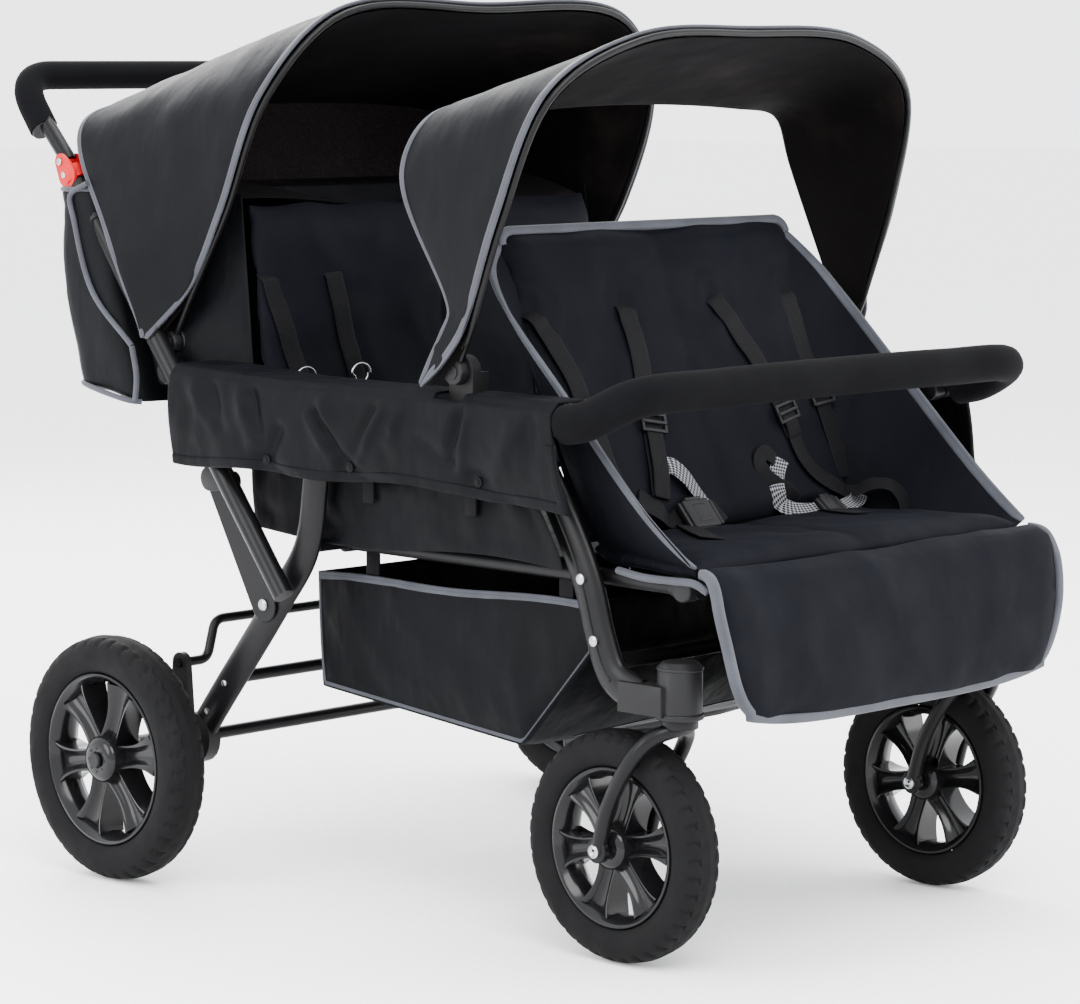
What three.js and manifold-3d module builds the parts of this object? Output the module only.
// Four-seat tandem stroller: two children in front, two behind, with two canopies and a folding frame.
// Millimetres, +Z up. The stroller faces -Y, and X = 0 is its plane of symmetry.
import * as THREE from "three";
import { mergeVertices } from "three/addons/utils/BufferGeometryUtils.js";
import Module from "manifold-3d";

const wasm = await Module();
wasm.setup();

// Gaps and cutting allowances
const fit = 0.3;
const running = 0.5;
const overrun = 4;
const weld = 0.001;

// Facets around a full turn
const facets = { pin: 10, tube: 8, tyre: 32, rim: 24, housing: 16, grip: 10 };

// Wheels
const rearWheel = { radius: 150, width: 56, rim: 106, hub: 29, track: 810, y: 308 };
const frontWheel = { radius: 131, width: 54, rim: 91, hub: 25, track: 546 };
const tyreCrownShare = [0.36, 0.48, 0.5, 0.38, 0.14];
const tyreRiseShare = [0, 0.22, 0.6, 0.9, 1];
const treadDepth = 1.6;
const barrelWallShare = 0.075;
const rimWidthShare = 0.7;
const spokeCount = 6;
const spokeHubShare = 0.62;
const spokeRimShare = 1.25;
const spokeDepthShare = 0.85;
const spokeRib = 5;
const hubOverhang = 1.5;
const axle = { radius: 6, head: 9, headDepth: 4 };

// Layers across the frame, worked out from the rear wheel inwards
const pushTubeDiameter = 25;
const linkThickness = 3;
const rearLegSection = { across: 18, along: 40 };
const armrestDiameter = 20;
const frontLegSection = { across: 22, along: 42 };
const railDiameter = 20;
const wheelGap = 3;
const layerGap = 1;
const frontLegGap = 6;
const railGap = 2;
const pushTubeX = rearWheel.track / 2 - rearWheel.width / 2 - wheelGap - pushTubeDiameter / 2;
const linkX = pushTubeX - pushTubeDiameter / 2 - running - linkThickness / 2;
const rearLegX = linkX - linkThickness / 2 - running - rearLegSection.across / 2;
const armrestX = rearLegX - rearLegSection.across / 2 - layerGap - armrestDiameter / 2;
const frontLegX = armrestX - armrestDiameter / 2 - frontLegGap - frontLegSection.across / 2;
const railX = frontLegX - frontLegSection.across / 2 - railGap - railDiameter / 2;

// Pivots of the folding linkage, seen from the side
const legPivot = { y: -4, z: 600 };
const pushPivot = { y: 262, z: 622 };
const linkLow = { y: 95, z: 354 };
const linkHigh = { y: 184, z: 498 };
const frontLegPivot = { y: -270, z: 600 };
const railFront = { y: -384, z: 428 };
const railRear = { y: 32, z: 428 };
const pivotPin = 6;
const smallPin = 5;
const eyeWall = 9;
const frontEyeWall = 7;
const hubEyeShare = 0.6;

// Rear legs, brake and cross tubes
const rearLegBend = { kneeY: 30, kneeZ: 428, shinY: 82, shinZ: 358, ankleY: 190, ankleZ: 228,
  footY: 232, footZ: 176 };
const axleArm = { radius: 31, boss: 22 };
const crossTubeRadius = 7.5;
const lowerCross = { y: 210, z: 182 };
const upperCross = { y: 155, z: 259 };
const crossBoss = 3;
const railTubeRadius = 8;
const brake = { radius: 6, y: 262, z: 264, rise: 48, bend: 26, halfSpan: 296 };
const brakeEar = { root: 20, tip: 13 };

// Front legs and casters
const frontLegBend = { shoulderY: -322, shoulderZ: 530, hipY: -354, hipZ: 480, kneeY: -404, kneeZ: 361,
  footY: -424, footZ: 322 };
const frontLegEnd = { y: -462, z: 305 };
const caster = { y: -507, trail: 85, radius: 25, low: 286, high: 347, stem: 7, stemLength: 44, dome: 5 };
const casterSocket = { height: 34, grip: 20 };
const fork = { radius: 9, crownZ: 273, plate: 13, sideGap: 2 };
const forkShareY = [0, 0.2, 0.6, 0.82, 1];
const forkShareZ = [0, 0.38, 0.76, 0.93, 1];
const forkShareX = [1, 1, 1, 0.72, 0];
const frontCross = { y: -420, z: 338, radius: 9 };

// Armrests and bumper bar
const armrest = { midY: 130, midZ: 612, frontY: -379, frontZ: 598 };
const bumperPivotX = 340;
const bumper = {
  foam: 22, core: 8, riseY: -430, riseZ: 608, cornerY: -484, cornerZ: 634, cornerX: 322, barY: -494,
    barZ: 640, turnZ: 639,
  turnShare: 0.6, foamShare: 0.4, eye: 11,
};

// Push tubes and handle
const pushTubeLow = { y: 43, z: 371 };
const pushTubeTop = { y: 427, z: 858 };
const handleHinge = { y: 437, z: 871 };
const handleTube = { radius: 10, elbowY: 487, elbowZ: 911, barY: 538, barZ: 976, bend: 52 };
const grip = { radius: 18 };
const clevis = { wall: 4, sleeve: 16, drop: 14 };

// Canopies
const frontHub = { y: -225, z: 649, radius: 19 };
const rearHub = { y: 268, z: 656, radius: 16 };
const bowRadius = 4;
const hubOuterX = 345;
const hubWidth = 14;
const frontBow = {
  legX: 337, lowY: -250, lowZ: 700, sideX: 334, sideY: -295, sideZ: 820, shoulderX: 304,
    shoulderY: -342, shoulderZ: 955,
  topX: 187, topY: -362, topZ: 1016, crownZ: 1019,
};
const frontRearBow = {
  legX: 324, lowY: -217, lowZ: 704, sideX: 332, sideY: -136, sideZ: 866, shoulderX: 296,
    shoulderY: -144, shoulderZ: 925,
  topX: 180, topY: -172, topZ: 940, crownZ: 942,
};
const rearBow = {
  legX: 339, lowY: 232, lowZ: 715, sideX: 341, sideY: 165, sideZ: 815, shoulderX: 328, shoulderY: 104,
    shoulderZ: 952,
  topX: 243, topY: 72, topZ: 1046, crownZ: 1050,
};
const canopyCloth = 4;
const canopyClear = { front: 2.6, rear: 2.8 };

// Seats and cloth
const seatPad = { crown: 10, channel: 5, edge: 6 };
const pillowShare = 0.35;
const rearSeatGap = 24;
const rearSeatHalf = rearLegX - rearLegSection.across / 2 - rearSeatGap;
const frontSeat = {
  topY: -190, topZ: 804, topHalf: 238, shoulderY: -224, shoulderZ: 706, lumbarY: -292, lumbarZ: 522,
    creaseY: -336,
  creaseZ: 452, creaseHalf: 236, midY: -430, midZ: 445.8, midHalf: 258, frontY: -542, frontZ: 446.8,
    frontHalf: 288,
  panShare: 0.41, gapShare: 0.0009,
};
const wing = { thickness: 3, lift: 12, height: 22 };
const rearSeat = {
  topY: 186, topZ: 826, topHalf: 290, lumbarY: 142, lumbarZ: 566,
    lumbarHalf: rearSeatHalf - seatPad.channel, creaseY: 112, creaseZ: 524, frontY: -92, frontZ: 512,
    half: rearSeatHalf,
  panShare: 0.5, gapShare: 0.0011,
};
const calfPanel = {
  topY: -543.8, kneeY: -568, kneeZ: 436, midY: -588, midZ: 372, lowY: -591, lowZ: 276, topHalf: 288,
    lowHalf: 300, corner: 60,
  edge: 4, crown: 4, rise: 14,
};
const cornerShare = 0.92;
const tub = {
  outerX: 309, thickness: 5, top: 582, low: 443.4, rearY: 150, frontLowY: -326, frontTopY: -258, bend: 24,
};
const flap = {
  top: 622.9, rearTop: 632, low: 516, innerX: 303, rearX: 384, frontX: 352, rearY: 216, frontY: -360,
    flareY: -180,
  flareRearY: 120, liftY: 20, thickness: 5, turn: 8, puff: 4, folds: 3,
};
const tubShares = [-1, -0.96, -0.75, -0.35, 0, 0.35, 0.75, 0.96, 1];
const basket = {
  halfWidth: 270, rearTopY: 66, rearTopZ: 388, frontTopY: -371, frontTopZ: 398, noseY: -370,
    noseZ: 338, keelY: -283, keelZ: 234,
  heelY: 64, heelZ: 252, wall: 4, sag: 7, shrink: 0.97, lip: 14,
  hangerRearY: -10, hangerFrontY: -330, hanger: 24,
};
const underPanel = { halfWidth: 226, frontY: -582.5, frontZ: 316, rearY: -292, rearZ: 229.6,
  thickness: 4, sag: 3 };
const bag = {
  topY: 470, topFrontY: 404, topZ: 833, bellyZ: 700, lowY: 448, lowZ: 598, frontY: 322, frontZ: 584,
    halfWidth: pushTubeX - pushTubeDiameter / 2 - fit, wall: 4,
  puff: 8, sag: 5, shrink: 0.97,
};
const rearEdge = {
  legX: 333, sideX: 331, sideY: 372, sideZ: 790, shoulderX: 320, shoulderY: 440, shoulderZ: 902,
    topX: 250, topY: 452, topZ: 934,
  crownZ: 940,
};
const canopyHem = {
  frontRearY: -212, frontRearZ: 706, frontY: -252, frontZ: 704, rearEdgeY: 304, rearEdgeZ: 676,
    rearY: 256, rearZ: 684, bulge: 5,
};

const curtain = { spanShare: 0.25, lowY: 440, lowZ: 838, rise: 4, thickness: 3 };

// Finishes
const paint = (color, roughness, metalness) => new THREE.MeshStandardMaterial({ color, roughness,
  metalness });
const finish = {
  frame: paint(0x17171a, 0.38, 0.6),
  plastic: paint(0x141416, 0.45, 0),
  gloss: paint(0x0c0c0e, 0.18, 0),
  tyre: paint(0x1d1d1f, 0.85, 0),
  foam: paint(0x17181b, 0.95, 0),
  red: paint(0xd3201f, 0.35, 0),
  cloth: paint(0x191b22, 0.9, 0),
};

const at = (x, y, z) => new THREE.Vector3(x, y, z);

// A geometry becomes a solid: corners are welded, empty faces go, and faces point out
function toSolid(geometry) {
  const bare = new THREE.BufferGeometry();
  bare.setAttribute("position", geometry.getAttribute("position").clone());
  if (geometry.index) bare.setIndex(geometry.index.clone());
  const merged = mergeVertices(bare, weld);
  const places = merged.getAttribute("position").array;
  const corners = merged.index.array;
  const kept = [];
  for (let i = 0; i < corners.length; i += 3) {
    const [a, b, c] = [corners[i], corners[i + 1], corners[i + 2]];
    if (a !== b && b !== c && c !== a) kept.push(a, b, c);
  }
  const turned = volumeOf(places, kept) < 0 ? kept.reverse() : kept;
  const mesh = new wasm.Mesh({
    numProp: 3,
    vertProperties: new Float32Array(places),
    triVerts: new Uint32Array(turned),
  });
  return new wasm.Manifold(mesh);
}

// Six times the volume inside a set of triangles, negative if they face inwards
function volumeOf(places, corners) {
  let sum = 0;
  const [a, b, c] = [at(0, 0, 0), at(0, 0, 0), at(0, 0, 0)];
  for (let i = 0; i < corners.length; i += 3) {
    a.fromArray(places, corners[i] * 3);
    b.fromArray(places, corners[i + 1] * 3);
    c.fromArray(places, corners[i + 2] * 3);
    sum += a.dot(b.cross(c));
  }
  return sum;
}

// A solid goes back to a geometry
function toGeometry(solid) {
  const mesh = solid.getMesh();
  const geometry = new THREE.BufferGeometry();
  geometry.setAttribute("position", new THREE.BufferAttribute(mesh.vertProperties, 3));
  geometry.setIndex(new THREE.BufferAttribute(mesh.triVerts, 1));
  return geometry;
}

const join = (...solids) => solids.reduce((sum, next) => sum.add(next));
const cut = (solid, ...tools) => tools.reduce((rest, tool) => rest.subtract(tool), solid);

// The same piece on the other side of the stroller
function mirrored(geometry) {
  const copy = geometry.clone().scale(-1, 1, 1);
  const index = copy.index.array;
  for (let i = 0; i < index.length; i += 3) [index[i], index[i + 1]] = [index[i + 1], index[i]];
  return copy;
}

const stroller = new THREE.Group();
stroller.name = "stroller";

// Add one piece
function add(name, material, solid) {
  const mesh = new THREE.Mesh(toGeometry(solid), material);
  mesh.name = name;
  stroller.add(mesh);
}

// Add a left piece, on the +X side, and its mirror image on the right
function addPair(name, material, solid) {
  const left = toGeometry(solid);
  for (const [side, geometry] of [["left", left], ["right", mirrored(left)]]) {
    const mesh = new THREE.Mesh(geometry, material);
    mesh.name = `${name}_${side}`;
    stroller.add(mesh);
  }
}

// A round bar along X from one place to another
function barX(radius, fromX, toX, y, z, sides = facets.pin) {
  const geometry = new THREE.CylinderGeometry(radius, radius, toX - fromX, sides);
  return toSolid(geometry.rotateZ(Math.PI / 2).translate((fromX + toX) / 2, y, z));
}

// A hole along X whose flats stay clear of a round pin that turns in it
function holeX(radius, fromX, toX, y, z) {
  return barX((radius + fit) / Math.cos(Math.PI / facets.pin), fromX, toX, y, z);
}

// A round bar along Y
function barY(radius, x, fromY, toY, z, sides = facets.pin) {
  const geometry = new THREE.CylinderGeometry(radius, radius, toY - fromY, sides);
  return toSolid(geometry.translate(x, (fromY + toY) / 2, z));
}

// A round bar along Z
function barZ(radius, x, y, fromZ, toZ, sides = facets.pin) {
  const geometry = new THREE.CylinderGeometry(radius, radius, toZ - fromZ, sides);
  return toSolid(geometry.rotateX(Math.PI / 2).translate(x, y, (fromZ + toZ) / 2));
}

function block(fromX, toX, fromY, toY, fromZ, toZ) {
  const geometry = new THREE.BoxGeometry(toX - fromX, toY - fromY, toZ - fromZ);
  return toSolid(geometry.translate((fromX + toX) / 2, (fromY + toY) / 2, (fromZ + toZ) / 2));
}

// An oval section, its first size across the stroller
function oval(across, along, sides = facets.tube) {
  const points = [];
  for (let i = 0; i < sides; i += 1) {
    const turn = (i * 2 * Math.PI) / sides;
    points.push(new THREE.Vector2((Math.cos(turn) * across) / 2, (Math.sin(turn) * along) / 2));
  }
  return new THREE.Shape(points);
}

// A path given by places, each with the mean direction of the runs beside it
class PlacePath extends THREE.Curve {
  constructor(places) {
    super();
    this.places = places;
  }

  getPointAt(share, target = at(0, 0, 0)) {
    return target.copy(this.places[Math.round(share * (this.places.length - 1))]);
  }

  getTangentAt(share, target = at(0, 0, 0)) {
    const last = this.places.length - 1;
    const i = Math.round(share * last);
    const run = (j) => this.places[j + 1].clone().sub(this.places[j]).normalize();
    if (i === 0) return target.copy(run(0));
    if (i === last) return target.copy(run(last - 1));
    return target.copy(run(i - 1)).add(run(i)).normalize();
  }
}

function sweep(places, section) {
  const extrudePath = new PlacePath(places);
  return toSolid(new THREE.ExtrudeGeometry(section, { steps: places.length - 1, extrudePath,
    bevelEnabled: false }));
}

// A tube of a given section along a smooth curve through points
function bentTube(points, section, steps) {
  return sweep(new THREE.CatmullRomCurve3(points, false, "centripetal").getSpacedPoints(steps), section);
}

function straight([from, to], section) {
  return sweep([from, to], section);
}

// Straight runs joined by round bends
function runPlaces(points, bend, bendSteps) {
  const places = [points[0]];
  for (let i = 1; i < points.length - 1; i += 1) {
    const corner = points[i];
    const before = corner.clone().add(points[i - 1].clone().sub(corner).setLength(bend));
    const after = corner.clone().add(points[i + 1].clone().sub(corner).setLength(bend));
    places.push(...new THREE.QuadraticBezierCurve3(before, corner, after).getPoints(bendSteps));
  }
  return [...places, points[points.length - 1]];
}

function runTube(points, bend, radius, bendSteps = 5, sides = facets.tube) {
  return sweep(runPlaces(points, bend, bendSteps), oval(radius * 2, radius * 2, sides));
}

// A flat plate in the side view, from an outline of [y, z] points
function sidePlate(outline, fromX, toX) {
  const shape = new THREE.Shape(outline.map(([y, z]) => new THREE.Vector2(y, z)));
  const geometry = new THREE.ExtrudeGeometry(shape, { depth: toX - fromX, bevelEnabled: false });
  geometry.applyMatrix4(new THREE.Matrix4().set(0, 0, 1, fromX, 1, 0, 0, 0, 0, 1, 0, 0, 0, 0, 0, 1));
  return toSolid(geometry);
}

// The outline around two circles, as a link plate has
function linkOutline(p, pRadius, q, qRadius, arcSteps = 10) {
  const heading = Math.atan2(q.z - p.z, q.y - p.y);
  const reach = Math.hypot(q.y - p.y, q.z - p.z);
  const lean = Math.acos((pRadius - qRadius) / reach);
  const points = [];
  for (let i = 0; i <= arcSteps; i += 1) {
    const turn = heading + lean + ((2 * Math.PI - 2 * lean) * i) / arcSteps;
    points.push([p.y + pRadius * Math.cos(turn), p.z + pRadius * Math.sin(turn)]);
  }
  for (let i = 0; i <= arcSteps; i += 1) {
    const turn = heading - lean + (2 * lean * i) / arcSteps;
    points.push([q.y + qRadius * Math.cos(turn), q.z + qRadius * Math.sin(turn)]);
  }
  return points;
}

// A soft sheet: a grid of places, thickened to each side of itself
function sheet(columns, rows, place, front, back) {
  const corners = [];
  const stepShare = 0.001;
  for (const side of [1, -1]) {
    for (let j = 0; j <= rows; j += 1) {
      for (let i = 0; i <= columns; i += 1) {
        const [u, v] = [i / columns, j / rows];
        const [u0, u1] = [Math.max(u - stepShare, 0), Math.min(u + stepShare, 1)];
        const [v0, v1] = [Math.max(v - stepShare, 0), Math.min(v + stepShare, 1)];
        const alongU = place(u1, v).sub(place(u0, v));
        const alongV = place(u, v1).sub(place(u, v0));
        const normal = alongU.cross(alongV).normalize();
        const offset = side > 0 ? front(u, v) : -back(u, v);
        corners.push(place(u, v).addScaledVector(normal, offset));
      }
    }
  }
  const rowSize = columns + 1;
  const layer = rowSize * (rows + 1);
  const faces = [];
  const quad = (a, b, c, d) => faces.push(a, b, c, a, c, d);
  for (let j = 0; j < rows; j += 1) {
    for (let i = 0; i < columns; i += 1) {
      const a = j * rowSize + i;
      quad(a, a + 1, a + 1 + rowSize, a + rowSize);
      quad(layer + a, layer + a + rowSize, layer + a + 1 + rowSize, layer + a + 1);
    }
  }
  for (let i = 0; i < columns; i += 1) {
    const top = rows * rowSize + i;
    quad(i + 1, i, layer + i, layer + i + 1);
    quad(top, top + 1, layer + top + 1, layer + top);
  }
  for (let j = 0; j < rows; j += 1) {
    const a = j * rowSize;
    const b = a + columns;
    quad(a, a + rowSize, layer + a + rowSize, layer + a);
    quad(b + rowSize, b, layer + b, layer + b + rowSize);
  }
  const geometry = new THREE.BufferGeometry();
  geometry.setAttribute("position",
    new THREE.Float32BufferAttribute(corners.flatMap((p) => p.toArray()), 3));
  geometry.setIndex(faces);
  return toSolid(geometry);
}

// How far a padded surface stands up: full in the middle, drawn in at its rim
const pillow = (u, v) => Math.min(1, (Math.sin(Math.PI * u) * Math.sin(Math.PI * v)) ** pillowShare);

// Tyre: a ring that grips the rim, with tread blocks cut around its shoulders
function tyre(wheel, x, y) {
  const seat = (wheel.rim + fit) / Math.cos(Math.PI / facets.tyre);
  const rise = wheel.radius - seat;
  const right = tyreRiseShare.map((share, i) => new THREE.Vector2(seat + rise * share,
    wheel.width * tyreCrownShare[i]));
  const left = right.map((p) => new THREE.Vector2(p.x, -p.y)).reverse();
  const profile = [...right, ...left, right[0].clone()];
  const geometry = new THREE.LatheGeometry(profile, facets.tyre);
  const places = geometry.getAttribute("position");
  const shoulder = seat + rise * tyreRiseShare[2];
  for (let i = 0; i < places.count; i += 1) {
    const p = at(places.getX(i), 0, places.getZ(i));
    const turn = Math.round((Math.atan2(p.z, p.x) / (2 * Math.PI)) * facets.tyre);
    const crown = Math.abs(places.getY(i)) < wheel.width * tyreCrownShare[4] + weld;
    if (p.length() > shoulder - weld && !crown && turn % 2 === 0) {
      p.setLength(p.length() - treadDepth);
      places.setX(i, p.x);
      places.setZ(i, p.z);
    }
  }
  return toSolid(geometry.rotateZ(-Math.PI / 2).translate(x, y, wheel.radius));
}

// Rim: a barrel, a hub and six broad spokes, each a recessed web between two ribs
function rim(wheel, x, y) {
  const halfWidth = (wheel.width * rimWidthShare) / 2;
  const wall = wheel.rim * barrelWallShare;
  const lip = wheel.rim - wall / 2;
  const well = wheel.rim - wall * 2;
  const profile = [
    [lip - wall, halfWidth], [wheel.rim, halfWidth], [wheel.rim, -halfWidth], [lip - wall, -halfWidth],
    [well, -halfWidth / 2], [well, halfWidth / 2], [lip - wall, halfWidth],
  ].map(([r, h]) => new THREE.Vector2(r, h));
  const barrel = toSolid(new THREE.LatheGeometry(profile, facets.rim).rotateZ(-Math.PI / 2));
  const hubHalf = wheel.width / 2 + hubOverhang;
  const hub = barX(wheel.hub, -hubHalf, hubHalf, 0, 0, facets.rim);
  const spokes = [];
  for (let i = 0; i < spokeCount; i += 1) spokes.push(spoke(wheel, well, halfWidth,
    (i * 2 * Math.PI) / spokeCount));
  const wheelBody = join(barrel, hub, ...spokes);
  const axleHole = holeX(axle.radius, -hubHalf - overrun, hubHalf + overrun, 0, 0);
  return cut(wheelBody, axleHole).translate([x, y, wheel.radius]);
}

// One spoke, a broad dished bar that widens into the barrel, turned to its place around the hub
function spoke(wheel, well, halfWidth, turn) {
  const [low, high] = [wheel.hub / 2, well + spokeRib / 2];
  const half = wheel.hub * spokeHubShare;
  const depth = halfWidth * spokeDepthShare;
  const corners = [[depth, -half], [depth, half], [0, half - spokeRib], [-depth, half], [-depth,
    -half], [0, spokeRib - half]];
  const section = new THREE.Shape(corners.map(([x, y]) => new THREE.Vector2(x, y)));
  const geometry = new THREE.ExtrudeGeometry(section, { depth: high - low, bevelEnabled: false });
  const places = geometry.getAttribute("position");
  for (let i = 0; i < places.count; i += 1) {
    if (places.getZ(i) > (high - low) / 2) places.setY(i, places.getY(i) * spokeRimShare);
  }
  return toSolid(geometry.translate(0, 0, low)).rotate([(turn * 180) / Math.PI, 0, 0]);
}

function rearWheels() {
  const x = rearWheel.track / 2;
  addPair("rear_tyre", finish.tyre, tyre(rearWheel, x, rearWheel.y));
  addPair("rear_rim", finish.gloss, rim(rearWheel, x, rearWheel.y));
}

function frontWheels() {
  const x = frontWheel.track / 2;
  const y = caster.y + caster.trail;
  addPair("front_tyre", finish.tyre, tyre(frontWheel, x, y));
  addPair("front_rim", finish.gloss, rim(frontWheel, x, y));
}

// Rear leg: a flat-sided tube from the armrest pivot, over the knee, to the axle arm
function rearLegs() {
  const b = rearLegBend;
  const x = rearLegX;
  const half = rearLegSection.across / 2;
  const crossSeat = barX(crossTubeRadius + crossBoss, x - half, x, upperCross.y, upperCross.z);
  const path = [
    at(x, legPivot.y, legPivot.z),
    at(x, (legPivot.y + b.kneeY) / 2, (legPivot.z + b.kneeZ) / 2),
    at(x, b.kneeY, b.kneeZ),
    at(x, b.shinY, b.shinZ),
    at(x, b.ankleY, b.ankleZ),
    at(x, b.footY, b.footZ),
  ];
  const leg = bentTube(path, oval(rearLegSection.across, rearLegSection.along), 12);
  const eye = barX(rearLegSection.along / 2, x - half, x + half, legPivot.y, legPivot.z, facets.housing);
  const linkPin = barX(pivotPin, x, linkX + linkThickness / 2 + fit, linkLow.y, linkLow.z);
  const hole = holeX(pivotPin, x - half - overrun, x + half + overrun, legPivot.y, legPivot.z);
  const tubeHole = holeX(railTubeRadius, x - half - overrun, x, railRear.y, railRear.z);
  const foot = { y: b.footY, z: b.footZ };
  const hub = { y: rearWheel.y, z: rearWheel.radius };
  const arm = sidePlate(linkOutline(foot, axleArm.radius, hub, axleArm.boss), x - half, x + half);
  addPair("rear_leg", finish.frame, cut(join(leg, eye, crossSeat, linkPin), hole, tubeHole,
    arm.add(stubSpace())));
  addPair("axle_arm", finish.plastic, axleArmSolid(arm));
}

// Space kept clear around the axle arm inside the rear leg
function stubSpace() {
  const half = rearLegSection.across / 2 + fit;
  const foot = { y: rearLegBend.footY, z: rearLegBend.footZ };
  const hub = { y: rearWheel.y, z: rearWheel.radius };
  return sidePlate(linkOutline(foot, axleArm.radius + fit, hub, axleArm.boss + fit), rearLegX - half,
    rearLegX + half);
}

// Axle arm: the moulded shoe at the foot of the leg, with the stub axle that carries the rear wheel
function axleArmSolid(arm) {
  const hubFace = rearWheel.track / 2 - rearWheel.width / 2 - hubOverhang - running;
  const outerFace = rearWheel.track / 2 + rearWheel.width / 2 + hubOverhang + running;
  const [y, z] = [rearWheel.y, rearWheel.radius];
  const boss = barX(axleArm.boss, rearLegX, hubFace, y, z, facets.housing);
  const stub = barX(axle.radius, rearLegX, outerFace + axle.headDepth, y, z);
  const cap = barX(axle.head, outerFace, outerFace + axle.headDepth, y, z, facets.pin);
  const half = rearLegSection.across / 2;
  const pedal = { y: brake.y, z: brake.z };
  const root = { y: brake.y, z: rearLegBend.footZ };
  const ear = sidePlate(linkOutline(root, brakeEar.root, pedal, brakeEar.tip), rearLegX - half / 2,
    rearLegX + half / 2);
  const earHole = holeX(brake.radius, rearLegX - half - overrun, rearLegX + half + overrun, brake.y,
    brake.z);
  return join(arm, boss, stub, cap, cut(ear, earHole));
}

function crossTubes() {
  const armFace = rearLegX - rearLegSection.across / 2 - fit;
  add("lower_cross_tube", finish.frame, barX(crossTubeRadius, -armFace, armFace, lowerCross.y,
    lowerCross.z));
  add("upper_cross_tube", finish.frame, barX(crossTubeRadius, -armFace, armFace, upperCross.y,
    upperCross.z));
  add("seat_pivot_tube", finish.frame, barX(railTubeRadius, -rearLegX + fit, rearLegX - fit,
    railRear.y, railRear.z));
}

// Foot brake: one bent bar across the back, whose ends turn in the rear legs
function brakeBar() {
  const b = brake;
  const end = rearLegX + rearLegSection.across / 2 - layerGap;
  const points = [
    at(-end, b.y, b.z), at(-b.halfSpan, b.y, b.z), at(-b.halfSpan + b.bend / 2, b.y, b.z + b.rise),
    at(b.halfSpan - b.bend / 2, b.y, b.z + b.rise), at(b.halfSpan, b.y, b.z), at(end, b.y, b.z),
  ];
  add("brake_bar", finish.frame, runTube(points, b.bend / 2, b.radius, 3, 8));
}

// Folding link between the rear leg and the push tube
function foldLinks() {
  const [from, to] = [linkX - linkThickness / 2, linkX + linkThickness / 2];
  const outline = linkOutline(linkLow, pivotPin + eyeWall + pivotPin, linkHigh, pivotPin + eyeWall);
  const plate = sidePlate(outline, from, to);
  const hole = holeX(pivotPin, from - overrun, to + overrun, linkLow.y, linkLow.z);
  const highHole = holeX(pivotPin, from - overrun, to + overrun, linkHigh.y, linkHigh.z);
  addPair("fold_link", finish.frame, cut(plate, hole, highHole));
}

// Push tube: a straight round tube with the lugs of its two side pivots
function pushTubes() {
  const x = pushTubeX;
  const innerFace = x - pushTubeDiameter / 2;
  const low = at(x, pushTubeLow.y, pushTubeLow.z);
  const top = at(x, pushTubeTop.y, pushTubeTop.z);
  const tube = straight([low, top], oval(pushTubeDiameter, pushTubeDiameter, facets.pin));
  const onAxis = (z) => ({ y: low.y + ((top.y - low.y) * (z - low.z)) / (top.z - low.z), z });
  const lugRadius = pivotPin + eyeWall;
  const lug = sidePlate(linkOutline(linkHigh, lugRadius, onAxis(linkHigh.z), lugRadius), innerFace,
    innerFace + eyeWall);
  const bossInner = armrestX + armrestDiameter / 2 + layerGap;
  const boss = barX(lugRadius, bossInner, x, pushPivot.y, pushPivot.z, facets.housing);
  const bore = holeX(pivotPin, bossInner - overrun, x, pushPivot.y, pushPivot.z);
  addPair("push_tube", finish.frame, cut(join(tube, lug, boss), bore));
}

// Red clevis: a sleeve over the end of the push tube, with two ears that hold the handle
function handleClevises() {
  const x = pushTubeX;
  const axis = at(0, pushTubeTop.y - pushTubeLow.y, pushTubeTop.z - pushTubeLow.z).normalize();
  const top = at(x, pushTubeTop.y, pushTubeTop.z);
  const sleeveRadius = pushTubeDiameter / 2 + fit + clevis.wall;
  const section = oval(sleeveRadius * 2, sleeveRadius * 2, facets.pin);
  const sleevePath = [top.clone().addScaledVector(axis, -clevis.drop),
    top.clone().addScaledVector(axis, clevis.wall)];
  const boreSection = oval(pushTubeDiameter + fit * 2, pushTubeDiameter + fit * 2, facets.pin);
  const borePath = [top.clone().addScaledVector(axis, -clevis.drop - overrun),
    top.clone().addScaledVector(axis, fit)];
  const sleeve = cut(straight(sleevePath, section), straight(borePath, boreSection));
  const slot = handleTube.radius + running;
  const earAt = { y: handleHinge.y, z: handleHinge.z };
  const root = { y: pushTubeTop.y - clevis.wall * axis.y, z: pushTubeTop.z - clevis.wall * axis.z };
  const ears = [1, -1].map((side) => {
    const faces = [x + side * slot, x + side * (slot + clevis.wall)].sort((p, q) => p - q);
    return sidePlate(linkOutline(root, clevis.sleeve, earAt, pivotPin + clevis.wall), faces[0], faces[1]);
  });
  const mouth = straight([top.clone().addScaledVector(axis, -clevis.sleeve - clevis.drop),
    top.clone().addScaledVector(axis, fit)], boreSection);
  const pin = barX(smallPin, x - slot - clevis.wall, x + slot + clevis.wall, handleHinge.y, handleHinge.z);
  addPair("handle_clevis", finish.red, join(cut(join(sleeve, ...ears), mouth), pin));
}

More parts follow.
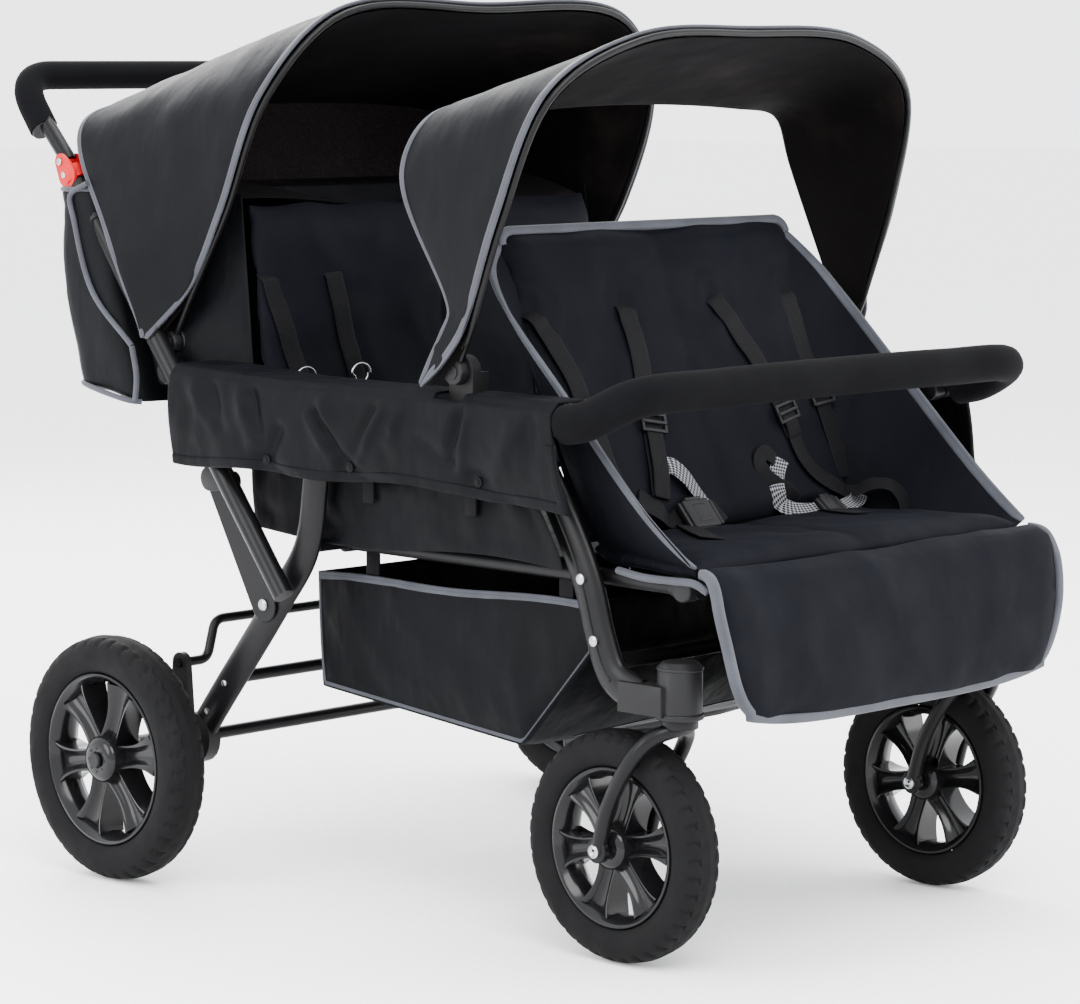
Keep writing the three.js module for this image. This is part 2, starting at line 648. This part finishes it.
// Handle: one U of tube hinged between the clevis ears, with a foam grip over its bends and bar
function handle() {
  const t = handleTube;
  const x = pushTubeX;
  const upright = (side) => [at(side * x, handleHinge.y, handleHinge.z), at(side * x, t.elbowY, t.elbowZ)];
  const corner = (side) => at(side * x, t.barY, t.barZ);
  const route = [...upright(1), corner(1), corner(-1), ...upright(-1).reverse()];
  const shape = runTube([route[0], corner(1), corner(-1), route[5]], t.bend, t.radius);
  const eyes = [1, -1].map((side) => {
    const [from, to] = [side * x - t.radius, side * x + t.radius];
    return barX(t.radius, from, to, handleHinge.y, handleHinge.z);
  });
  const holes = [1, -1].map((side) => {
    const [from, to] = [side * x - t.radius - overrun, side * x + t.radius + overrun];
    return holeX(smallPin, from, to, handleHinge.y, handleHinge.z);
  });
  const grips = [route[1], corner(1), corner(-1), route[4]];
  const outer = runTube(grips, t.bend, grip.radius, 5, facets.pin);
  const sleeveBore = runTube([route[0], corner(1), corner(-1), route[5]], t.bend, t.radius + fit);
  add("handle_tube", finish.frame, cut(join(shape, ...eyes), ...holes));
  add("handle_grip", finish.foam, cut(outer, sleeveBore));
}

// Armrest: a side tube with the pins of the leg, push tube and bumper pivots
function armrests() {
  const x = armrestX;
  const points = [
    at(x, pushPivot.y, pushPivot.z), at(x, armrest.midY, armrest.midZ), at(x, legPivot.y, legPivot.z),
    at(x, frontLegPivot.y, frontLegPivot.z), at(x, armrest.frontY, armrest.frontZ),
  ];
  const half = armrestDiameter / 2;
  const tube = bentTube(points, oval(armrestDiameter, armrestDiameter), 10);
  const rearEye = barX(pivotPin + eyeWall, x - half, x + half, pushPivot.y, pushPivot.z, facets.housing);
  const frontEye = barX(pivotPin + frontEyeWall, x - half, x + half, armrest.frontY, armrest.frontZ,
    facets.housing);
  const pushPin = barX(pivotPin, x, pushTubeX - pivotPin, pushPivot.y, pushPivot.z);
  const legPin = barX(pivotPin, x, rearLegX + rearLegSection.across / 2 - layerGap, legPivot.y,
    legPivot.z);
  const frontPin = barX(pivotPin, frontLegX - frontLegSection.across / 2 + layerGap, x,
    frontLegPivot.y, frontLegPivot.z);
  const bumperPin = barX(smallPin, x, bumperPivotX + bumper.core + axle.headDepth, armrest.frontY,
    armrest.frontZ);
  const head = barX(axle.head, bumperPivotX + bumper.core + running,
    bumperPivotX + bumper.core + axle.headDepth,
    armrest.frontY, armrest.frontZ);
  addPair("armrest_tube", finish.frame, join(tube, rearEye, frontEye, pushPin, legPin, frontPin,
    bumperPin, head));
}

// Bumper bar: foam over a steel core that turns on the armrest's front pins
function bumperBar() {
  const b = bumper;
  const start = (side) => at(side * bumperPivotX, armrest.frontY, armrest.frontZ);
  const rise = (side) => at(side * bumperPivotX, b.riseY, b.riseZ);
  const corner = (side) => at(side * b.cornerX, b.cornerY, b.cornerZ);
  const middle = at(0, b.barY, b.barZ);
  const foamStart = (side) => start(side).lerp(rise(side), b.foamShare);
  const spine = [foamStart(1), rise(1), corner(1), at(b.cornerX * b.turnShare, b.barY, b.turnZ)];
  const other = spine.map((p) => at(-p.x, p.y, p.z)).reverse();
  const foam = bentTube([...spine, middle, ...other], oval(b.foam * 2, b.foam * 2, facets.grip), 18);
  const cores = [1, -1].map((side) => straight([start(side), rise(side)], oval(b.core * 2, b.core * 2)));
  const eyes = [1, -1].map((side) => {
    const [from, to] = [side * bumperPivotX - b.core, side * bumperPivotX + b.core];
    return barX(b.eye, from, to, armrest.frontY, armrest.frontZ, facets.housing);
  });
  const holes = [1, -1].map((side) => {
    const [from, to] = [side * bumperPivotX - b.core - overrun, side * bumperPivotX + b.core + overrun];
    return holeX(smallPin, from, to, armrest.frontY, armrest.frontZ);
  });
  add("bumper_bar", finish.foam, cut(join(foam, ...cores, ...eyes), ...holes));
}

// Front leg: a flat-sided tube that sweeps forward into the back of the caster housing
function frontLegs() {
  const b = frontLegBend;
  const x = frontLegX;
  const half = frontLegSection.across / 2;
  const path = [
    at(x, frontLegPivot.y, frontLegPivot.z), at(x, b.shoulderY, b.shoulderZ), at(x, b.hipY, b.hipZ),
    at(x, railFront.y, railFront.z - pivotPin), at(x, b.kneeY, b.kneeZ), at(x, b.footY, b.footZ),
    at(x, frontLegEnd.y, frontLegEnd.z),
  ];
  const leg = bentTube(path, oval(frontLegSection.across, frontLegSection.along), 14);
  const eye = barX(frontLegSection.along / 2, x - half, x + half, frontLegPivot.y, frontLegPivot.z,
    facets.housing);
  const hole = holeX(pivotPin, x - half - overrun, x + half + overrun, frontLegPivot.y, frontLegPivot.z);
  const washer = barX(eyeWall, railX + railDiameter / 2 + fit, x, railFront.y, railFront.z);
  const crossSeat = barX(frontCross.radius + crossBoss, x - half, x, frontCross.y, frontCross.z);
  const rivets = [[railFront.y, railFront.z], [b.kneeY, b.kneeZ]].map(([y, z]) => barX(pivotPin, x,
    x + half + layerGap, y, z));
  addPair("front_leg", finish.frame, cut(join(leg, eye, washer, crossSeat, ...rivets), hole));
  const inner = frontLegX - half - fit;
  add("front_cross_tube", finish.frame, barX(frontCross.radius, -inner, inner, frontCross.y,
    frontCross.z));
}

// Caster housing: a capped barrel with the socket that takes the front leg
function casterHousings() {
  const x = frontWheel.track / 2;
  const c = caster;
  const profile = [
    [0, c.low], [c.radius, c.low], [c.radius, c.high - c.dome], [c.radius - c.dome, c.high], [0, c.high],
  ].map(([r, h]) => new THREE.Vector2(r, h));
  const barrel = toSolid(new THREE.LatheGeometry(profile,
    facets.housing).rotateX(Math.PI / 2).translate(x, c.y, 0));
  const half = frontLegSection.across / 2 + clevis.wall;
  const low = frontLegEnd.z - casterSocket.height / 2;
  const [socketFrom, socketTo] = [Math.min(x, frontLegX - half), Math.max(x, frontLegX + half)];
  const socket = block(socketFrom, socketTo, c.y, frontLegEnd.y + casterSocket.grip, low,
    low + casterSocket.height);
  const legSpace = bentTube(
    [at(frontLegX, frontLegBend.kneeY, frontLegBend.kneeZ), at(frontLegX, frontLegBend.footY,
      frontLegBend.footZ),
      at(frontLegX, frontLegEnd.y - fit, frontLegEnd.z)],
    oval(frontLegSection.across + fit * 2, frontLegSection.along + fit * 2), 8,
  );
  const wide = (c.stem + fit) / Math.cos(Math.PI / facets.pin);
  const bore = barZ(wide, x, c.y, c.low - overrun, c.low + c.stemLength + running);
  addPair("caster_housing", finish.plastic, cut(join(barrel, socket), legSpace, bore));
}

// Caster fork: a bent tube over the tyre, with the upright stem and the wheel's axle bolt
function casterForks() {
  const x = frontWheel.track / 2;
  const wheelY = caster.y + caster.trail;
  const spread = frontWheel.width / 2 + hubOverhang + fork.sideGap + fork.radius;
  const rise = fork.crownZ - frontWheel.radius;
  const side = (sign) => forkShareX.map((share, i) =>
    at(x + sign * spread * share, wheelY - caster.trail * forkShareY[i],
      frontWheel.radius + rise * forkShareZ[i]));
  const points = [...side(1), ...side(-1).reverse().slice(1)];
  const arch = bentTube(points, oval(fork.radius * 2, fork.radius * 2), 14);
  const stem = barZ(caster.stem, x, caster.y, fork.crownZ, caster.low + caster.stemLength);
  const collar = barZ(caster.radius - clevis.wall, x, caster.y, fork.crownZ, caster.low - running,
    facets.housing);
  const plates = [1, -1].map((sign) => {
    const centre = x + sign * spread;
    return barX(fork.plate, centre - fork.radius / 2, centre + fork.radius / 2, wheelY,
      frontWheel.radius, facets.housing);
  });
  const reach = spread + fork.radius;
  const bolt = barX(axle.radius, x - reach, x + reach, wheelY, frontWheel.radius);
  addPair("caster_fork", finish.frame, join(arch, stem, collar, ...plates, bolt));
}

// Seat rail: the tube under the seats, from its front cap to the pivot tube between the rear legs
function seatRails() {
  const x = railX;
  const rise = (railFront.z - railRear.z) / (railFront.y - railRear.y);
  const noseY = frontSeat.frontY + eyeWall;
  const nose = at(x, noseY, railRear.z + rise * (noseY - railRear.y));
  const tube = straight([at(x, railRear.y, railRear.z), nose], oval(railDiameter, railDiameter));
  const eye = barX((railDiameter + clevis.wall) / 2, x - railDiameter / 2, x + railDiameter / 2,
    railRear.y, railRear.z, facets.housing);
  const hole = holeX(railTubeRadius, x - railDiameter, x + railDiameter, railRear.y, railRear.z);
  const cap = barY(railDiameter / 2 + clevis.wall / 2, x, noseY, noseY + railDiameter * 2, nose.z);
  addPair("seat_rail", finish.frame, cut(join(tube, eye, cap), hole));
  const inner = railX - (railDiameter / 2 + clevis.wall / 2) * Math.cos(Math.PI / facets.pin) - fit;
  add("seat_cross_tube", finish.frame, barX(railTubeRadius, -inner, inner, noseY + railDiameter, nose.z));
}

// Canopy hubs: ratchet knobs on the armrests and on the push tubes
function canopyHubs() {
  const inner = hubOuterX - hubWidth;
  const knob = barX(frontHub.radius, inner - hubWidth, inner - fit, frontHub.y, frontHub.z,
    facets.housing);
  const foot = block(armrestX - armrestDiameter / 2, inner - fit, frontHub.y - frontHub.radius,
    frontHub.y + frontHub.radius,
    legPivot.z - armrestDiameter / 2 - clevis.wall, frontHub.z);
  const tubeSpace = barY(armrestDiameter / 2 + fit, armrestX, frontHub.y - frontHub.radius * 2,
    frontHub.y + frontHub.radius * 2,
    legPivot.z, facets.tube * 2);
  const f = frontRearBow;
  const socket = straight([at(f.legX, frontHub.y, frontHub.z + clevis.wall), at(f.legX, f.lowY, f.lowZ)],
    oval(bowRadius * 2 + running * 2, bowRadius * 2 + running * 2, 6));
  const upperPin = barX(smallPin, inner - fit * 2, hubOuterX - layerGap, frontHub.y, frontHub.z);
  addPair("front_canopy_hub", finish.plastic, join(cut(join(knob, foot), tubeSpace, socket), upperPin));
  const tubeFace = pushTubeX - pushTubeDiameter / 2 - fit;
  const [knobFrom, knobTo] = [armrestX + armrestDiameter / 2 + layerGap, rearBow.legX - bowRadius - fit];
  const rearKnob = barX(rearHub.radius, knobFrom, knobTo, rearHub.y, rearHub.z, facets.housing);
  const post = barX(smallPin, knobFrom, tubeFace, rearHub.y, rearHub.z);
  addPair("rear_canopy_hub", finish.plastic, join(rearKnob, post));
}

// A canopy bow: a wire hoop from hub to hub, given by its left half
function bow(hub, b, hinged) {
  const leg = [at(b.legX, b.lowY, b.lowZ), at(b.sideX, b.sideY, b.sideZ), at(b.shoulderX, b.shoulderY,
    b.shoulderZ),
    at(b.topX, b.topY, b.topZ)];
  const arch = [...leg, at(0, b.topY, b.crownZ), ...leg.map(mirrorPlace).reverse()];
  const foot = at(b.legX, hub.y, hinged ? hub.z : hub.z + clevis.wall + running);
  const places = new THREE.CatmullRomCurve3(arch, false, "centripetal").getSpacedPoints(24);
  const hoop = sweep([foot, ...places, mirrorPlace(foot)], oval(bowRadius * 2, bowRadius * 2, 6));
  if (!hinged) return hoop;
  const eyes = [1, -1].map((side) => {
    const [from, to] = [side * b.legX - bowRadius, side * b.legX + bowRadius];
    return barX(frontHub.radius * hubEyeShare, from, to, hub.y, hub.z, facets.housing);
  });
  const holes = [1, -1].map((side) => {
    const [from, to] = [side * b.legX - bowRadius - overrun, side * b.legX + bowRadius + overrun];
    return holeX(smallPin, from, to, hub.y, hub.z);
  });
  return cut(join(hoop, ...eyes), ...holes);
}

function canopyBows() {
  add("front_canopy_front_bow", finish.frame, bow(frontHub, frontBow, true));
  add("front_canopy_rear_bow", finish.frame, bow(frontHub, frontRearBow, false));
  add("rear_canopy_bow", finish.frame, bow(rearHub, rearBow, true));
}

// A closed body through outlines of equal length, each a list of places
function loft(outlines) {
  const turning = THREE.ShapeUtils.area(outlines[0].map((p) => new THREE.Vector2(p.y, p.z)));
  const sections = outlines.map((outline) => (turning < 0 ? [...outline].reverse() : outline));
  const count = sections[0].length;
  const faces = [];
  for (let j = 0; j < sections.length - 1; j += 1) {
    for (let i = 0; i < count; i += 1) {
      const [a, b] = [j * count + i, j * count + ((i + 1) % count)];
      faces.push(a, b, b + count, a, b + count, a + count);
    }
  }
  const flat = sections[0].map((p) => new THREE.Vector2(p.y, p.z));
  const last = (sections.length - 1) * count;
  for (const [a, b, c] of THREE.ShapeUtils.triangulateShape(flat, [])) faces.push(c, b, a, last + a,
    last + b, last + c);
  const geometry = new THREE.BufferGeometry();
  geometry.setAttribute("position",
    new THREE.Float32BufferAttribute(sections.flat().flatMap((p) => p.toArray()), 3));
  geometry.setIndex(faces);
  return toSolid(geometry);
}

// A cloth tub: outlines across the stroller, full in the middle, drawn in at the sides, its floor sagging
function clothTub(outline, halfWidth, shrink, sag, sagging) {
  const middle = outline.reduce(([y, z], p) => [y + p[0] / outline.length, z + p[1] / outline.length],
    [0, 0]);
  return loft(tubShares.map((share) => {
    const scale = Math.abs(share) === 1 ? shrink : 1;
    const drop = sag * (1 - share * share);
    return outline.map(([y, z], i) => at(share * halfWidth, middle[0] + (y - middle[0]) * scale,
      middle[1] + (z - middle[1]) * scale - (sagging.includes(i) ? drop : 0)));
  }));
}

const mirrorPlace = (p) => at(-p.x, p.y, p.z);

// A quilted pad along half-widths and places seen from the side: its sewn lines cross at the middle
function quiltedPad(spinePlaces, columns, rows, span) {
  const spine = new THREE.CatmullRomCurve3(spinePlaces, false, "centripetal");
  const place = (u, v) => {
    const p = spine.getPoint(span[0] + (span[1] - span[0]) * v);
    p.x *= u * 2 - 1;
    return p;
  };
  const stitched = (u, v) => Math.abs(u - 1 / 2) < weld || Math.abs(v - 1 / 2) < weld;
  const up = (u, v) => seatPad.edge + seatPad.crown * pillow(u, v) - (stitched(u,
    v) ? seatPad.channel : 0);
  return sheet(columns, rows, place, up, () => seatPad.edge);
}

// Half-widths and places along the front seat, seen from the side
function frontSpine() {
  const f = frontSeat;
  return [
    at(f.frontHalf, f.frontY, f.frontZ), at(f.midHalf, f.midY, f.midZ), at(f.creaseHalf, f.creaseY,
      f.creaseZ),
    at(f.creaseHalf, f.lumbarY, f.lumbarZ), at(f.topHalf, f.shoulderY, f.shoulderZ),
    at(f.topHalf, f.topY, f.topZ),
  ];
}

// Front seat: the pan, and the back that stands up from its crease
function frontSeatPads() {
  const f = frontSeat;
  const places = frontSpine();
  add("front_seat_pan", finish.cloth, quiltedPad(places, 14, 6, [0, f.panShare]));
  add("front_seat_back", finish.cloth, quiltedPad(places, 14, 8, [f.panShare + f.gapShare, 1]));
}

// Front seat wing: the side cloth from the seat's edge out to the long piping
function frontWings() {
  const f = frontSeat;
  const w = wing;
  const side = w.thickness / 2 + fit * 2;
  const inner = new THREE.CatmullRomCurve3([
    at(f.frontHalf + side, f.frontY, f.frontZ), at(f.midHalf + side, f.midY, f.midZ),
    at(f.creaseHalf + side, f.creaseY, f.creaseZ), at(f.creaseHalf + side, f.lumbarY, f.lumbarZ),
    at(f.topHalf + side, f.shoulderY, f.shoulderZ), at(f.topHalf + side, f.topY, f.topZ),
  ], false, "centripetal");
  const outer = new THREE.LineCurve3(
    at(f.frontHalf + side * 2, f.frontY, f.frontZ + w.height), at(f.topHalf + side * 2,
      f.topY - w.lift, f.topZ + w.lift / 2),
  );
  const place = (u, v) => inner.getPoint(v).lerp(outer.getPoint(v), u);
  const half = (u, v) => (w.thickness / 2) * (1 + pillow(u, v));
  addPair("front_wing", finish.cloth, sheet(5, 10, place, half, half));
}

// Calf panel: a padded panel that hangs from the seat's front edge, its lower corners rounded
function calfPanelPad() {
  const c = calfPanel;
  const spine = new THREE.CatmullRomCurve3([
    at(0, c.topY, frontSeat.frontZ), at(0, c.kneeY, c.kneeZ), at(0, c.midY, c.midZ), at(0, c.lowY, c.lowZ),
  ], false, "centripetal");
  const place = (u, v) => {
    const side = u * 2 - 1;
    const fall = Math.max(0, v - 1 / 2) * 2;
    const drawn = c.corner * (1 - Math.sqrt(1 - Math.min(fall, cornerShare) ** 2));
    const p = spine.getPoint(v);
    p.x = side * (c.topHalf + (c.lowHalf - c.topHalf) * Math.min(1, v * 2) - drawn);
    p.z += c.rise * side ** 4 * v;
    return p;
  };
  const half = (u, v) => c.edge + c.crown * pillow(u, v);
  add("calf_panel", finish.cloth, sheet(12, 8, place, half, () => c.edge));
}

// Half-widths and places along the rear seat, seen from the side
function rearSpine() {
  const r = rearSeat;
  return [
    at(r.half, r.frontY, r.frontZ), at(r.half, (r.frontY + r.creaseY) / 2, r.frontZ + seatPad.channel),
    at(r.half, r.creaseY, r.creaseZ), at(r.lumbarHalf, r.lumbarY, r.lumbarZ), at(r.topHalf, r.topY, r.topZ),
  ];
}

// Rear seat: the pan, and the back that stands up from its crease
function rearSeatPads() {
  const r = rearSeat;
  const places = rearSpine();
  add("rear_seat_pan", finish.cloth, quiltedPad(places, 14, 6, [0, r.panShare]));
  add("rear_seat_back", finish.cloth, quiltedPad(places, 14, 8, [r.panShare + r.gapShare, 1]));
}

// Rear curtain: the mesh that closes the back, from the canopy's rear edge down to the bag
function rearCurtain() {
  const c = curtain;
  const half = hoopHalf(rearEdge, canopyHem.rearEdgeY, canopyHem.rearEdgeZ);
  const hoop = new THREE.CatmullRomCurve3(wholeHoop(half), false, "centripetal");
  const place = (u, v) => {
    const top = hoop.getPoint(c.spanShare + u * (1 - c.spanShare * 2));
    return at(top.x, c.lowY + (top.y - c.lowY) * v, c.lowZ + (top.z + c.rise - c.lowZ) * v);
  };
  add("rear_curtain", finish.cloth, sheet(8, 2, place, () => c.thickness / 2, () => c.thickness / 2));
}

// Seat tub: side walls and floor of the rear footwell, one sheet folded up at both sides
function seatTub() {
  const t = tub;
  const wallX = t.outerX - t.thickness / 2;
  const corners = [at(wallX, 0, t.top), at(wallX, 0, t.low), at(-wallX, 0, t.low), at(-wallX, 0, t.top)];
  const section = new THREE.CatmullRomCurve3(runPlaces(corners, t.bend, 3), false, "centripetal");
  const place = (u, v) => {
    const p = section.getPoint(u);
    const height = (p.z - t.low) / (t.top - t.low);
    const front = t.frontLowY + (t.frontTopY - t.frontLowY) * height ** 2;
    p.y = front + (t.rearY - front) * v;
    return p;
  };
  add("seat_tub", finish.cloth, sheet(20, 6, place, () => t.thickness / 2, () => t.thickness / 2));
}

// Armrest flap: the cover over the side tube that hangs down outside the legs
function armrestFlaps() {
  const f = flap;
  const place = (u, v) => {
    const y = f.frontY + (f.rearY - f.frontY) * v;
    const share = Math.min(1, Math.max(0, (y - f.flareY) / (f.flareRearY - f.flareY)));
    const outer = f.frontX + (f.rearX - f.frontX) * share;
    const top = f.top + (f.rearTop - f.top) * Math.max(0, (y - f.liftY) / (f.rearY - f.liftY));
    const fold = [at(f.innerX, y, top), at(outer - f.turn, y, top), at(outer, y, top - f.turn),
      at(outer, y, f.low)];
    const path = new THREE.CatmullRomCurve3(fold, false, "centripetal");
    const p = path.getPoint(u);
    const hang = Math.max(0, top - p.z) / (top - f.low);
    p.x += f.puff * hang * Math.sin(Math.PI * v * f.folds) ** 2;
    return p;
  };
  const cover = sheet(8, 12, place, () => f.thickness / 2, () => f.thickness / 2);
  const slot = block(f.innerX - overrun, hubOuterX + clevis.wall, frontHub.y - frontHub.radius - running,
    frontHub.y + frontHub.radius + running, f.top - f.turn * 2, f.rearTop + overrun);
  addPair("armrest_flap", finish.cloth, cut(cover, slot));
}

// Basket under the seats: a cloth tub, open at the top
function basketTub() {
  const b = basket;
  const outline = (w) => [
    [b.rearTopY - w, b.rearTopZ + w], [b.heelY - w, b.heelZ + w], [b.keelY + w, b.keelZ + w],
      [b.noseY + w, b.noseZ],
    [b.frontTopY + w, b.frontTopZ + w],
  ];
  const outer = clothTub(outline(0), b.halfWidth, b.shrink, b.sag, [1, 2]);
  const inner = clothTub(outline(b.wall), b.halfWidth - b.wall, b.shrink, b.sag, [1, 2]);
  const mouth = clothTub([
    [b.rearTopY - b.wall, b.rearTopZ - b.wall], [b.rearTopY - b.wall, b.rearTopZ + b.lip],
    [b.frontTopY + b.wall, b.frontTopZ + b.lip], [b.frontTopY + b.wall, b.frontTopZ - b.wall],
  ].reverse(), b.halfWidth - b.lip, 1, 0, []);
  const hangers = [b.hangerRearY, b.hangerFrontY].flatMap((y) => [1, -1].map((side) => {
    const [from, to] = [side * (b.halfWidth - b.wall), side * b.halfWidth].sort((p, q) => p - q);
    return block(from, to, y - b.hanger / 2, y + b.hanger / 2, b.heelZ,
      railFront.z - railDiameter / 2 - fit);
  }));
  add("basket", finish.cloth, join(cut(outer, inner, mouth), ...hangers));
}

// Under panel: the cloth below the front seat, from the calf panel back to the basket
function underPanelSheet() {
  const p = underPanel;
  const place = (u, v) => at((u * 2 - 1) * p.halfWidth, p.frontY + (p.rearY - p.frontY) * v,
    p.frontZ + (p.rearZ - p.frontZ) * v - p.sag * Math.sin(Math.PI * u) * Math.sin(Math.PI * v));
  add("under_panel", finish.cloth, sheet(8, 6, place, () => p.thickness / 2, () => p.thickness / 2));
}

// Rear bag: a deep cloth pocket behind the rear seat, open at the top
function rearBagPocket() {
  const b = bag;
  const outer = [[b.topY, b.topZ], [b.topFrontY, b.topZ], [b.frontY, b.frontZ], [b.lowY, b.lowZ],
    [b.topY + b.puff, b.bellyZ]];
  const inner = [
    [b.topY - b.wall, b.topZ + b.wall], [b.topFrontY + b.wall, b.topZ + b.wall], [b.frontY + b.wall,
      b.frontZ + b.wall],
    [b.lowY - b.wall, b.lowZ + b.wall], [b.topY + b.puff - b.wall, b.bellyZ],
  ];
  const body = clothTub(outer, b.halfWidth, b.shrink, b.sag, [2, 3]);
  add("rear_bag", finish.cloth, cut(body, clothTub(inner, b.halfWidth - b.wall, b.shrink, b.sag, [2, 3])));
}

// One canopy cloth between two hoops, each a smooth curve given by its left half
function canopy(name, first, second, rows, bulge, clear) {
  const hoop = (half) => new THREE.CatmullRomCurve3(wholeHoop(half), false, "centripetal");
  const [from, to] = [hoop(first), hoop(second)];
  const place = (u, v) => {
    const p = from.getPoint(u).lerp(to.getPoint(u), v);
    p.z += bulge * Math.sin(Math.PI * v) * Math.sin(Math.PI * u);
    return p;
  };
  const inset = bowRadius + clear;
  add(name, finish.cloth, sheet(18, rows, place, () => inset + canopyCloth, () => -inset));
}

const wholeHoop = (half) => [...half, ...half.slice(0, -1).reverse().map(mirrorPlace)];

const hoopHalf = (b, lowY, lowZ) => [
  at(b.legX, lowY, lowZ), at(b.sideX, b.sideY, b.sideZ), at(b.shoulderX, b.shoulderY, b.shoulderZ),
  at(b.topX, b.topY, b.topZ), at(0, b.topY, b.crownZ),
];

function canopies() {
  const f = canopyHem;
  canopy("front_canopy", hoopHalf(frontRearBow, f.frontRearY, f.frontRearZ), hoopHalf(frontBow,
    f.frontY, f.frontZ), 6, f.bulge,
    canopyClear.front);
  canopy("rear_canopy", hoopHalf(rearEdge, f.rearEdgeY, f.rearEdgeZ), hoopHalf(rearBow, f.rearY,
    f.rearZ), 8, f.bulge,
    canopyClear.rear);
}

rearWheels();
frontWheels();
rearLegs();
crossTubes();
brakeBar();
foldLinks();
pushTubes();
handleClevises();
handle();
armrests();
bumperBar();
frontLegs();
casterHousings();
casterForks();
seatRails();
canopyHubs();
canopyBows();
frontSeatPads();
frontWings();
calfPanelPad();
rearSeatPads();
rearCurtain();
seatTub();
armrestFlaps();
basketTub();
underPanelSheet();
rearBagPocket();
canopies();

// The middle of the stroller's length becomes the origin
const extent = new THREE.Box3().setFromObject(stroller);
stroller.position.y = -(extent.min.y + extent.max.y) / 2;

export default stroller;
